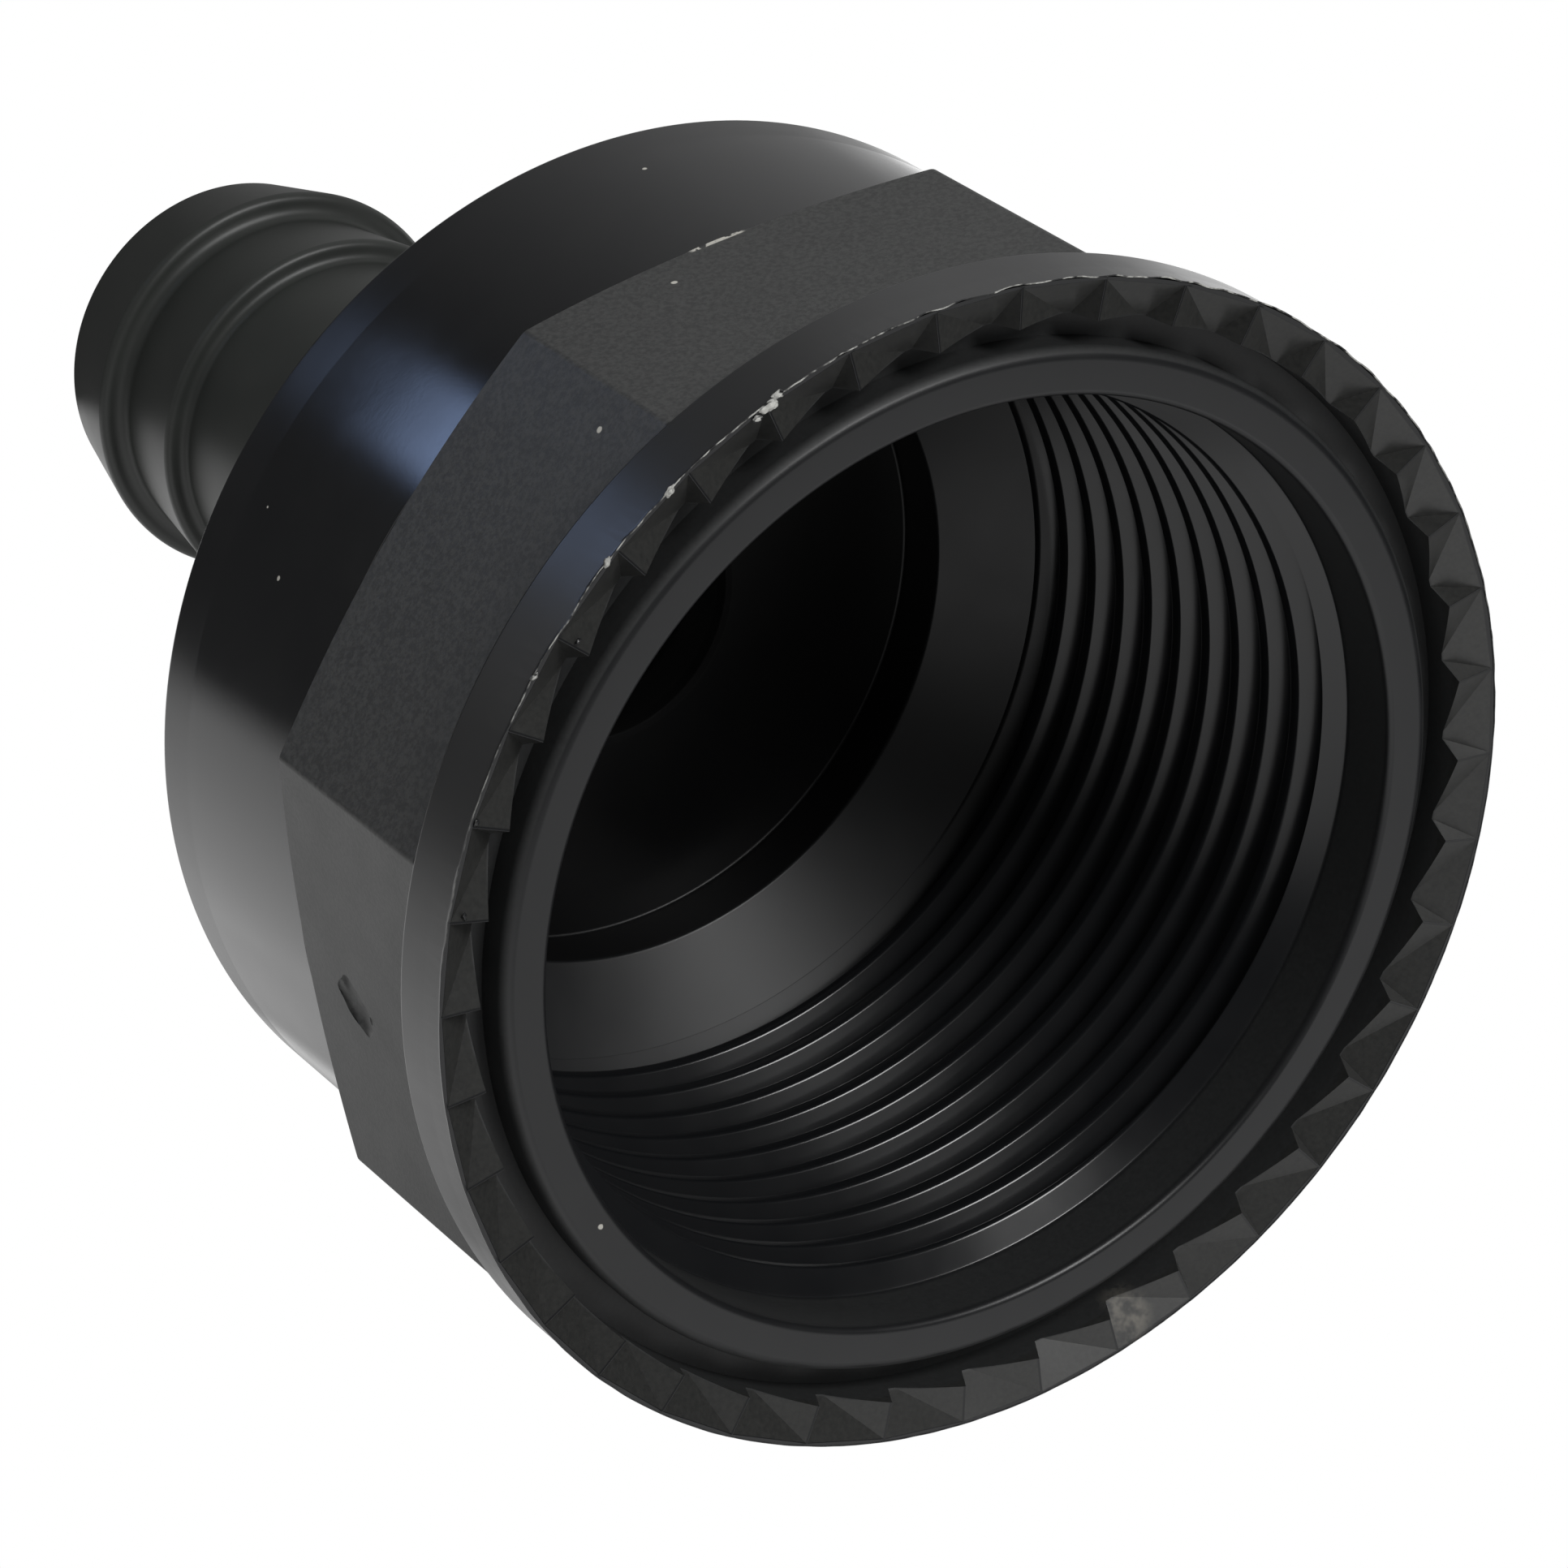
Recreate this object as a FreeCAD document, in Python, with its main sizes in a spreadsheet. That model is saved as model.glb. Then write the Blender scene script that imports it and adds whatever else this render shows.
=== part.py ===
import FreeCAD, Part
import Sketcher
import os

# Barbed hose tail with a parallel-threaded socket, moulded in one piece.
# Millimetres. The axis is Z, the tail end sits on Z = 0 and the socket opens upwards.
# The thread itself is not cut: the socket wall lies at the thread's crest radius.

# Sizes that can be set one by one: the socket first, then the walls built out from it.
SIZES = [
    ("thread_crest_radius", 19.7),
    ("thread_length", 21.6),
    ("lead_in_width", 1.1),
    ("lead_in_length", 0.9),
    ("mouth_depth", 3.3),
    ("seat_width", 3.8),
    ("seat_height", 2.3),
    ("well_depth", 2.7),
    ("floor_thickness", 2.6),
    ("lip_width", 2.05),
    ("lip_drop", 0.5),
    ("lip_chamfer", 0.3),
    ("groove_width", 1.3),
    ("groove_depth", 2.2),
    ("tooth_ring_width", 1.85),
    ("tooth_overlap", 0.15),
    ("rim_land", 0.1),
    ("tooth_count", 40),
    ("tooth_depth", 1.25),
    ("tooth_lean", 0.6),
    ("tooth_phase", 7.13),
    ("collar_thickness", 3.3),
    ("collar_chamfer", 0.25),
    ("corner_setback", 0.2),
    ("flats_count", 8),
    ("flat_depth", 1.85),
    ("flats_length", 12.1),
    ("corner_bevel_length", 1.0),
    ("body_rise", 0.05),
    ("shoulder_wall", 2.7),
    ("shoulder_length", 4.6),
    ("back_rim_length", 1.4),
    ("back_rim_chamfer", 0.6),
    ("tail_bore_radius", 6.2),
    ("neck_wall", 2.0),
    ("neck_length", 22.6),
    ("neck_fillet", 2.0),
    ("inner_barb_rise", 1.0),
    ("inner_barb_length", 5.8),
    ("outer_barb_rise", 1.5),
    ("outer_barb_length", 5.6),
    ("barb_root_rise", 0.2),
    ("tip_rise", 0.2),
    ("tip_chamfer", 0.3),
    ("cut_margin", 1.0),
]

# Radii from the socket's wall outwards, then levels from the tail's end upwards.
DERIVED = [
    ("seat_radius", "thread_crest_radius - seat_width"),
    ("mouth_radius", "thread_crest_radius + lead_in_width"),
    ("lip_radius", "mouth_radius + lip_width"),
    ("lip_cut_radius", "mouth_radius - cut_margin"),
    ("groove_radius", "lip_radius + groove_width"),
    ("tooth_inner_radius", "groove_radius - tooth_overlap"),
    ("collar_radius", "groove_radius + tooth_ring_width"),
    ("tooth_outer_radius", "collar_radius - rim_land"),
    ("tooth_pitch_angle", "360 / tooth_count"),
    ("corner_radius", "collar_radius - corner_setback"),
    ("collar_edge_size", "min(collar_chamfer; corner_setback * 0.85)"),
    ("flats_apothem", "corner_radius - flat_depth"),
    ("flats_reach", "corner_radius + cut_margin"),
    ("body_radius", "flats_apothem + body_rise"),
    ("shoulder_radius", "seat_radius + shoulder_wall"),
    ("neck_radius", "tail_bore_radius + neck_wall"),
    ("inner_barb_radius", "neck_radius + inner_barb_rise"),
    ("outer_barb_radius", "neck_radius + outer_barb_rise"),
    ("barb_root_radius", "neck_radius + barb_root_rise"),
    ("tip_radius", "neck_radius + tip_rise"),
    ("outer_barb_level", "outer_barb_length"),
    ("inner_barb_level", "outer_barb_level + inner_barb_length"),
    ("back_level", "inner_barb_level + neck_length"),
    ("rim_level", "back_level + back_rim_length"),
    ("shoulder_level", "rim_level + shoulder_length"),
    ("well_level", "back_level + floor_thickness"),
    ("seat_level", "well_level + well_depth"),
    ("thread_end_level", "seat_level + seat_height"),
    ("lead_level", "thread_end_level + thread_length"),
    ("mouth_level", "lead_level + lead_in_length"),
    ("front_level", "mouth_level + mouth_depth"),
    ("above_level", "front_level + cut_margin"),
    ("lip_level", "front_level - lip_drop"),
    ("groove_level", "front_level - groove_depth"),
    ("tooth_root_level", "front_level - tooth_depth"),
    ("collar_level", "front_level - collar_thickness"),
    ("flats_level", "collar_level - flats_length"),
    ("corner_level", "flats_level + corner_bevel_length"),
    ("tail_bore_length", "well_level + cut_margin"),
]

os.makedirs("parts", exist_ok=True)
doc = FreeCAD.newDocument("HoseEndFitting")

sheet = doc.addObject("Spreadsheet::Sheet", "Sizes")
row = 0
for alias, value in SIZES:
    row += 1
    sheet.set("A%d" % row, alias)
    sheet.set("B%d" % row, str(value))
    sheet.setAlias("B%d" % row, alias)
for alias, formula in DERIVED:
    row += 1
    sheet.set("A%d" % row, alias)
    sheet.set("B%d" % row, "=" + formula)
    sheet.setAlias("B%d" % row, alias)
doc.recompute()

body = doc.addObject("PartDesign::Body", "fitting_body")
body.Label = "fitting_body"
body.Placement = FreeCAD.Placement()
doc.recompute()


def size(alias):
    """Present value of a named cell."""
    return float(sheet.get(alias))


def origin(role):
    """Origin plane or axis of the body, found by its role."""
    return [item for item in body.Origin.OriginFeatures if item.Role == role][0]


def new_sketch(name, plane, level=None):
    """Sketch on an origin plane, raised to a named level where one is given."""
    sketch = body.newObject("Sketcher::SketchObject", name)
    sketch.AttachmentSupport = [(origin(plane), "")]
    sketch.MapMode = "FlatFace"
    if level:
        sketch.setExpression("AttachmentOffset.Base.z", "Sizes." + level)
    return sketch


def hold(sketch, geometry, end, kind, alias):
    """Hold a point at a named distance from the sketch origin, or on its axis for None."""
    if alias is None:
        axis = -2 if kind == "DistanceX" else -1
        sketch.addConstraint(Sketcher.Constraint("PointOnObject", geometry, end, axis))
        return
    limit = Sketcher.Constraint(kind, -1, 1, geometry, end, size(alias))
    number = sketch.addConstraint(limit)
    name = "%s_%s_%d" % (alias, kind[-1], geometry)
    sketch.renameConstraint(number, name)
    sketch.setExpression("Constraints." + name, "Sizes." + alias)


def outline(sketch, corners):
    """Closed polygon through corners given as pairs of cell names (None is zero)."""
    spots = [FreeCAD.Vector(size(x) if x else 0, size(y) if y else 0, 0) for x, y in corners]
    for start, end in zip(spots, spots[1:] + spots[:1]):
        sketch.addGeometry(Part.LineSegment(start, end), False)
    last = len(corners) - 1
    for i in range(len(corners)):
        nxt = 0 if i == last else i + 1
        sketch.addConstraint(Sketcher.Constraint("Coincident", i, 2, nxt, 1))
    for i, (x, y) in enumerate(corners):
        hold(sketch, i, 1, "DistanceX", x)
        hold(sketch, i, 1, "DistanceY", y)


def turn(kind, name, corners):
    """Turned shape or turned cut about the sketch's vertical axis."""
    sketch = new_sketch(name + "_profile", "XZ_Plane")
    outline(sketch, corners)
    feature = body.newObject("PartDesign::" + kind, name)
    feature.Profile = sketch
    feature.ReferenceAxis = (sketch, ["V_Axis"])
    feature.Angle = 360
    body.Tip = feature
    doc.recompute()
    return feature


def repeat(name, feature, count):
    """Copies of a feature all round the axis."""
    pattern = body.newObject("PartDesign::PolarPattern", name)
    pattern.Originals = [feature]
    pattern.Axis = (origin("Z_Axis"), [""])
    pattern.Angle = 360
    pattern.Refine = True
    pattern.setExpression("Occurrences", "Sizes." + count)
    body.Tip = pattern
    doc.recompute()
    return pattern


CLOSE = 1e-4


def ring_edges(radius, level):
    """Names of the circular edges with a named radius at a named level."""
    names = []
    for number, edge in enumerate(body.Shape.Edges, 1):
        curve = edge.Curve
        if isinstance(curve, Part.Circle) and abs(curve.Axis.z) > 0.999:
            if abs(curve.Radius - size(radius)) < CLOSE:
                height = size(level) if level else 0
                if abs(curve.Center.z - height) < CLOSE:
                    names.append("Edge%d" % number)
    return names


def ease(kind, name, alias, rings):
    """Fillet or chamfer of a named size on rings given as pairs of cell names."""
    names = []
    for radius, level in rings:
        names += ring_edges(radius, level)
    base = body.Tip
    feature = body.newObject("PartDesign::" + kind, name)
    feature.Base = (base, names)
    feature.setExpression("Radius" if kind == "Fillet" else "Size", "Sizes." + alias)
    body.Tip = feature
    doc.recompute()


# Head: back rim, sloping shoulder, round body and a blank for the wrench flats, whose
# bevelled back end leaves their corners cut off at a slant, as on a nut.
turn("Revolution", "head", [
    (None, "back_level"),
    ("shoulder_radius", "back_level"),
    ("shoulder_radius", "rim_level"),
    ("body_radius", "shoulder_level"),
    ("body_radius", "flats_level"),
    ("corner_radius", "corner_level"),
    ("corner_radius", "collar_level"),
    (None, "collar_level"),
])

# Hose tail: tapered tip, two barbs that step down towards the head, plain neck.
turn("Revolution", "tail", [
    (None, None),
    ("tip_radius", None),
    ("outer_barb_radius", "outer_barb_level"),
    ("barb_root_radius", "outer_barb_level"),
    ("inner_barb_radius", "inner_barb_level"),
    ("neck_radius", "inner_barb_level"),
    ("neck_radius", "back_level"),
    (None, "back_level"),
])

# Wrench flats: one flat cut into the blank, repeated round the axis.
flat_sketch = new_sketch("flat_outline", "XY_Plane", "collar_level")
near = size("flats_apothem")
far = size("flats_reach")
corners = [(near, -near), (far, -near), (far, near), (near, near)]
for i in range(4):
    start = FreeCAD.Vector(corners[i][0], corners[i][1], 0)
    end = FreeCAD.Vector(corners[(i + 1) % 4][0], corners[(i + 1) % 4][1], 0)
    flat_sketch.addGeometry(Part.LineSegment(start, end), False)
for i in range(4):
    flat_sketch.addConstraint(Sketcher.Constraint("Coincident", i, 2, (i + 1) % 4, 1))
for i in (0, 2):
    flat_sketch.addConstraint(Sketcher.Constraint("Horizontal", i))
flat_sketch.addConstraint(Sketcher.Constraint("Vertical", 1))
flat_sketch.addConstraint(Sketcher.Constraint("Symmetric", 3, 1, 3, 2, -1))
hold(flat_sketch, 0, 1, "DistanceX", "flats_apothem")
hold(flat_sketch, 0, 2, "DistanceX", "flats_reach")
hold(flat_sketch, 2, 2, "DistanceY", "flats_apothem")

flat_cut = body.newObject("PartDesign::Pocket", "flat_cut")
flat_cut.Profile = flat_sketch
flat_cut.setExpression("Length", "Sizes.flats_length")
body.Tip = flat_cut
doc.recompute()
repeat("flats", flat_cut, "flats_count")

# Collar over the front end of the flats.
turn("Revolution", "collar", [
    (None, "collar_level"),
    ("collar_radius", "collar_level"),
    ("collar_radius", "front_level"),
    (None, "front_level"),
])

# Socket: plain mouth, lead-in cone, thread wall, conical seat and a deeper plain well.
turn("Groove", "socket", [
    (None, "well_level"),
    ("seat_radius", "well_level"),
    ("seat_radius", "seat_level"),
    ("thread_crest_radius", "thread_end_level"),
    ("thread_crest_radius", "lead_level"),
    ("mouth_radius", "mouth_level"),
    ("mouth_radius", "above_level"),
    (None, "above_level"),
])

# Bore of the hose tail, from its end up into the well.
bore_sketch = new_sketch("tail_bore_circle", "XY_Plane")
bore_circle = Part.Circle(FreeCAD.Vector(0, 0, 0), FreeCAD.Vector(0, 0, 1), size("tail_bore_radius"))
bore_sketch.addGeometry(bore_circle, False)
bore_sketch.addConstraint(Sketcher.Constraint("Coincident", 0, 3, -1, 1))
bore_limit = Sketcher.Constraint("Radius", 0, size("tail_bore_radius"))
bore_sketch.renameConstraint(bore_sketch.addConstraint(bore_limit), "bore")
bore_sketch.setExpression("Constraints.bore", "Sizes.tail_bore_radius")

tail_bore = body.newObject("PartDesign::Pocket", "tail_bore")
tail_bore.Profile = bore_sketch
tail_bore.Reversed = True
tail_bore.setExpression("Length", "Sizes.tail_bore_length")
body.Tip = tail_bore
doc.recompute()

# Mouth lip, set a little below the teeth, and the groove round it.
turn("Groove", "lip_and_groove", [
    ("lip_cut_radius", "lip_level"),
    ("lip_radius", "lip_level"),
    ("lip_radius", "groove_level"),
    ("groove_radius", "groove_level"),
    ("groove_radius", "above_level"),
    ("lip_cut_radius", "above_level"),
])
lip_edges = [("mouth_radius", "lip_level"), ("lip_radius", "lip_level")]
ease("Chamfer", "lip_chamfers", "lip_chamfer", lip_edges)

# Eased edges on the outside, and the fillet where the hose tail meets the head.
ease("Chamfer", "back_rim_edge", "back_rim_chamfer", [("shoulder_radius", "back_level")])
ease("Chamfer", "collar_edge", "collar_edge_size", [("collar_radius", "collar_level")])
ease("Chamfer", "tip_edges", "tip_chamfer", [("tip_radius", None), ("tail_bore_radius", None)])
ease("Fillet", "neck_root", "neck_fillet", [("neck_radius", "back_level")])

# Ratchet ring: each pocket is a pyramid whose mouth fills one pitch of the collar's front
# face, up to a narrow land at the rim. Its point lies below the pitch's first inner corner,
# a little way along the ring, which makes one steep side, one ramp and one outer slope.
mouth = new_sketch("tooth_mouth", "XY_Plane", "front_level")
point = new_sketch("tooth_point", "XY_Plane", "tooth_root_level")
for sketch, level in ((mouth, "front_level"), (point, "tooth_root_level")):
    sketch.AttachmentOffset = FreeCAD.Placement(
        FreeCAD.Vector(0, 0, size(level)),
        FreeCAD.Rotation(FreeCAD.Vector(0, 0, 1), size("tooth_phase")))
    sketch.setExpression("AttachmentOffset.Rotation.Angle", "Sizes.tooth_phase")

zero = FreeCAD.Vector(0, 0, 0)
along = FreeCAD.Vector(1, 0, 0)
turned = FreeCAD.Rotation(FreeCAD.Vector(0, 0, 1), size("tooth_pitch_angle")).multVec(along)
inner = size("tooth_inner_radius")
outer = size("tooth_outer_radius")
mouth.addGeometry(Part.LineSegment(along * inner, along * outer), False)
mouth.addGeometry(Part.LineSegment(along * outer, turned * outer), False)
mouth.addGeometry(Part.LineSegment(turned * outer, turned * inner), False)
mouth.addGeometry(Part.LineSegment(turned * inner, along * inner), False)
mouth.addGeometry(Part.LineSegment(zero, turned * inner), True)
for i in range(4):
    mouth.addConstraint(Sketcher.Constraint("Coincident", i, 2, (i + 1) % 4, 1))
mouth.addConstraint(Sketcher.Constraint("Coincident", 4, 1, -1, 1))
mouth.addConstraint(Sketcher.Constraint("Coincident", 4, 2, 3, 1))
mouth.addConstraint(Sketcher.Constraint("PointOnObject", 2, 1, 4))
mouth.addConstraint(Sketcher.Constraint("Equal", 0, 2))
hold(mouth, 0, 1, "DistanceX", "tooth_inner_radius")
hold(mouth, 0, 1, "DistanceY", None)
hold(mouth, 0, 2, "DistanceX", "tooth_outer_radius")
hold(mouth, 0, 2, "DistanceY", None)
spoke_limit = Sketcher.Constraint("Distance", 4, inner)
mouth.renameConstraint(mouth.addConstraint(spoke_limit), "inner_length")
mouth.setExpression("Constraints.inner_length", "Sizes.tooth_inner_radius")
pitch = FreeCAD.Units.Quantity("%.6f deg" % size("tooth_pitch_angle"))
pitch_limit = Sketcher.Constraint("Angle", -1, 1, 4, 1, pitch.getValueAs("rad").Value)
mouth.renameConstraint(mouth.addConstraint(pitch_limit), "pitch")
mouth.setExpression("Constraints.pitch", "Sizes.tooth_pitch_angle")

lean = FreeCAD.Vector(0, size("tooth_lean"), 0)
point.addGeometry(Part.Point(along * inner + lean), False)
hold(point, 0, 1, "DistanceX", "tooth_inner_radius")
hold(point, 0, 1, "DistanceY", "tooth_lean")
doc.recompute()

tooth_pocket = body.newObject("PartDesign::SubtractiveLoft", "tooth_pocket")
tooth_pocket.Profile = mouth
tooth_pocket.Sections = [(point, ["Vertex1"])]
tooth_pocket.Ruled = True
body.Tip = tooth_pocket
doc.recompute()
repeat("ratchet_ring", tooth_pocket, "tooth_count")

for item in doc.Objects:
    if "Invalid" in item.State or "Error" in item.State:
        raise RuntimeError("%s did not build" % item.Name)
if body.Shape.isNull() or not body.Shape.isValid():
    raise RuntimeError("%s has no valid shape" % body.Name)
body.Shape.exportStep("parts/fitting_body.step")
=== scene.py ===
import bpy
import math
from mathutils import Matrix, Quaternion, Vector, noise


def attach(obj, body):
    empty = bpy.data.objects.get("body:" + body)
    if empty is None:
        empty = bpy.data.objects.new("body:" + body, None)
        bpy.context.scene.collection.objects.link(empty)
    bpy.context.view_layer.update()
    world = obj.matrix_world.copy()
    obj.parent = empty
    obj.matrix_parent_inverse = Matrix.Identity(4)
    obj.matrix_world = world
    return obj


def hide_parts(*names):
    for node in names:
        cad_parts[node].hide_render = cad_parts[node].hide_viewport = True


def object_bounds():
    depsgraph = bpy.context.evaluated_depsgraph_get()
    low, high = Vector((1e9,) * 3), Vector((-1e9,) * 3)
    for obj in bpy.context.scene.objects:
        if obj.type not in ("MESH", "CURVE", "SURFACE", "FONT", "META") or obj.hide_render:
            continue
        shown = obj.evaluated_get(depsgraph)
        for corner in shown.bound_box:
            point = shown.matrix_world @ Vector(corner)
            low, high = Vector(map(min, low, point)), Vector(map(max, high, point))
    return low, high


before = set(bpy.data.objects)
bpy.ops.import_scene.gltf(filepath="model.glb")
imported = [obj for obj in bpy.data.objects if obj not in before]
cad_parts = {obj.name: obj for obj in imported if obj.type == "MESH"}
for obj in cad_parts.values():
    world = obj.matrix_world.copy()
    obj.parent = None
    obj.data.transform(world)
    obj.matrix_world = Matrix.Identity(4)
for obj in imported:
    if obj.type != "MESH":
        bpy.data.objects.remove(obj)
cad_low, cad_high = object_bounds()

# Camera.
# It looks down at the socket from 49 degrees above the mouth's plane, and is rolled so that
# the hose tail points to the upper left of the picture.
MM = 0.001
PHOTO_SIDE = 1932
FOCAL_PIXELS = 7793.75
SENSOR = 36.0
AIM = Vector((-1.73, 0.20, 53.27)) * MM
CAMERA_DISTANCE = 270.6 * MM
CAMERA_AZIMUTH = math.radians(173.3)
CAMERA_ELEVATION = math.radians(49.235)
CAMERA_ROLL = math.radians(125.31)

back = Vector((
    math.sin(CAMERA_AZIMUTH) * math.cos(CAMERA_ELEVATION),
    -math.cos(CAMERA_AZIMUTH) * math.cos(CAMERA_ELEVATION),
    math.sin(CAMERA_ELEVATION),
))
lens = bpy.data.cameras.new("camera")
lens.sensor_width = SENSOR
lens.lens = SENSOR * FOCAL_PIXELS / PHOTO_SIDE
lens.clip_start = 10 * MM
lens.clip_end = 5000 * MM
camera = bpy.data.objects.new("camera", lens)
bpy.context.collection.objects.link(camera)
camera.rotation_mode = "QUATERNION"
camera.rotation_quaternion = (-back).to_track_quat("-Z", "Y") @ Quaternion((0, 0, 1), CAMERA_ROLL)
camera.location = AIM + back * CAMERA_DISTANCE
bpy.context.scene.camera = camera

# Turned core.
# The fitting is moulded in one piece from black plastic. Its core is round all the way: hose
# tail, sloping shoulder, polished body, mouth lip, socket, conical seat and through bore.
TURN_STEPS = 288
WELD = 0.0005 * MM
FRONT = cad_high.z / MM
COLLAR_RADIUS = cad_high.x / MM
TAIL_BORE = 6.2
TAIL_TIP = 8.4
OUTER_BARB = 9.7
OUTER_BARB_LEVEL = 5.6
INNER_BARB = 9.2
INNER_BARB_LEVEL = 11.4
NECK = 8.2
BACK = 34.0
RIM = 18.6
RIM_LEVEL = 35.4
BODY = 24.0
BODY_LEVEL = 40.0
CORE = 23.0
CORE_LEVEL = FRONT - 2.7
SEAT = 15.9
SEAT_LEVEL = FRONT - 28.1
WELL_LEVEL = FRONT - 30.8
THREAD_CREST = 19.7
THREAD_TOP = FRONT - 4.2
THREAD_END = FRONT - 25.8
MOUTH = 20.8
MOUTH_LEVEL = FRONT - 3.55
LIP_OUTER = 22.85
LIP_LEVEL = FRONT - 0.5
FLATS_LEVEL = 52.0
COLLAR_LEVEL = FRONT - 3.3


def deselect():
    if bpy.context.mode != "OBJECT":
        bpy.ops.object.mode_set(mode="OBJECT")
    bpy.ops.object.select_all(action="DESELECT")


def pick(obj):
    deselect()
    obj.select_set(True)
    bpy.context.view_layer.objects.active = obj


def rounded(corners, arc_steps=5):
    """Points of a closed outline of (radius, height, rounding) corners."""
    points = []
    count = len(corners)
    for i, (r, z, rounding) in enumerate(corners):
        here = Vector((r, z))
        before = Vector(corners[i - 1][:2])
        after = Vector(corners[(i + 1) % count][:2])
        to_before = (before - here).normalized()
        to_after = (after - here).normalized()
        if rounding == 0:
            points.append(here)
            continue
        half = to_before.angle(to_after) / 2
        setback = rounding / math.tan(half)
        centre = here + (to_before + to_after).normalized() * (rounding / math.sin(half))
        start = here + to_before * setback - centre
        end = here + to_after * setback - centre
        sweep = start.angle_signed(end)
        for k in range(arc_steps + 1):
            turn = Matrix.Rotation(-sweep * k / arc_steps, 2)
            points.append(centre + turn @ start)
    return points


def turned(name, corners, steps=TURN_STEPS):
    """Round body made by spinning a closed outline about the fitting's axis."""
    points = rounded(corners)
    deselect()
    bpy.ops.mesh.primitive_plane_add(size=MM, location=(0, 0, 0))
    obj = bpy.context.object
    obj.name = name
    bpy.ops.object.mode_set(mode="EDIT")
    bpy.ops.mesh.select_all(action="SELECT")
    bpy.ops.mesh.merge(type="CENTER")
    first = points[0]
    bpy.ops.transform.translate(value=(first.x * MM, 0, first.y * MM))
    for a, b in zip(points, points[1:]):
        step = (b - a) * MM
        bpy.ops.mesh.extrude_region_move(TRANSFORM_OT_translate={"value": (step.x, 0, step.y)})
    step = (points[0] - points[-1]) * MM
    bpy.ops.mesh.extrude_region_move(TRANSFORM_OT_translate={"value": (step.x, 0, step.y)})
    bpy.ops.mesh.select_all(action="SELECT")
    bpy.ops.mesh.remove_doubles(threshold=WELD)
    bpy.ops.mesh.spin(steps=steps, angle=2 * math.pi, center=(0, 0, 0), axis=(0, 0, 1))
    bpy.ops.mesh.select_all(action="SELECT")
    bpy.ops.mesh.remove_doubles(threshold=WELD)
    bpy.ops.mesh.normals_make_consistent(inside=False)
    bpy.ops.object.mode_set(mode="OBJECT")
    return obj


def join_or_cut(target, tool, operation):
    """Boolean of two closed bodies; the tool is used up."""
    pick(target)
    change = target.modifiers.new("change", "BOOLEAN")
    change.operation = operation
    change.solver = "MANIFOLD"
    change.object = tool
    bpy.ops.object.modifier_apply(modifier=change.name)
    pick(tool)
    bpy.ops.object.delete()


fitting = turned("moulded_fitting", [
    (TAIL_BORE, 0, 0.3),
    (TAIL_TIP, 0, 0.3),
    (OUTER_BARB, OUTER_BARB_LEVEL, 0.4),
    (TAIL_TIP, OUTER_BARB_LEVEL, 0.6),
    (INNER_BARB, INNER_BARB_LEVEL, 0.35),
    (NECK, INNER_BARB_LEVEL, 0.45),
    (NECK, BACK, 2.0),
    (RIM, BACK, 0.6),
    (RIM, RIM_LEVEL, 0.3),
    (BODY, BODY_LEVEL, 0.3),
    (BODY, FLATS_LEVEL, 0.1),
    (CORE, FLATS_LEVEL, 0),
    (CORE, CORE_LEVEL, 0),
    (LIP_OUTER, CORE_LEVEL, 0),
    (LIP_OUTER, LIP_LEVEL, 0.55),
    (MOUTH, LIP_LEVEL, 0.3),
    (MOUTH, MOUTH_LEVEL, 0.14),
    (THREAD_CREST, THREAD_TOP, 0.22),
    (THREAD_CREST, THREAD_END, 0),
    (SEAT, SEAT_LEVEL, 0.2),
    (SEAT, WELL_LEVEL, 0.15),
    (TAIL_BORE, WELL_LEVEL, 0.1),
])

# Wrench flats.
# Eight flats stand round the head between the body and the collar. Their back corners are
# bevelled like a nut's, and they keep the fine sandblasted texture of the mould.
FLATS_COUNT = 8
FLATS_APOTHEM = 24.01
FLATS_EDGE = 0.16
BEVEL_SLOPE = 1.8
BEVEL_HEIGHT = 3.0
RING_INNER = 22.3
RING_SINK = 0.8

deselect()
corner = FLATS_APOTHEM / math.cos(math.pi / FLATS_COUNT)
bottom = FLATS_LEVEL - 2 * RING_SINK
depth = COLLAR_LEVEL + 0.2 - bottom
bpy.ops.mesh.primitive_cylinder_add(
    vertices=FLATS_COUNT, radius=corner * MM, depth=depth * MM,
    location=(0, 0, (bottom + depth / 2) * MM), rotation=(0, 0, math.pi / FLATS_COUNT))
flats = bpy.context.object
flats.name = "flats"
bpy.ops.object.transform_apply(location=True, rotation=True, scale=True)
bpy.ops.object.mode_set(mode="EDIT")
bpy.ops.mesh.select_all(action="SELECT")
bpy.ops.mesh.bevel(offset=FLATS_EDGE * MM, segments=3, affect="EDGES")
bpy.ops.object.mode_set(mode="OBJECT")
blank = turned("flats_blank", [
    (RING_INNER, FLATS_LEVEL - RING_SINK, 0),
    (BODY - 0.6, FLATS_LEVEL - RING_SINK, 0),
    (BODY, FLATS_LEVEL, 0),
    (BODY + BEVEL_HEIGHT * BEVEL_SLOPE, FLATS_LEVEL + BEVEL_HEIGHT, 0),
    (BODY + BEVEL_HEIGHT * BEVEL_SLOPE, FRONT, 0),
    (RING_INNER, FRONT, 0),
])
join_or_cut(flats, blank, "INTERSECT")
join_or_cut(fitting, flats, "UNION")

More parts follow.
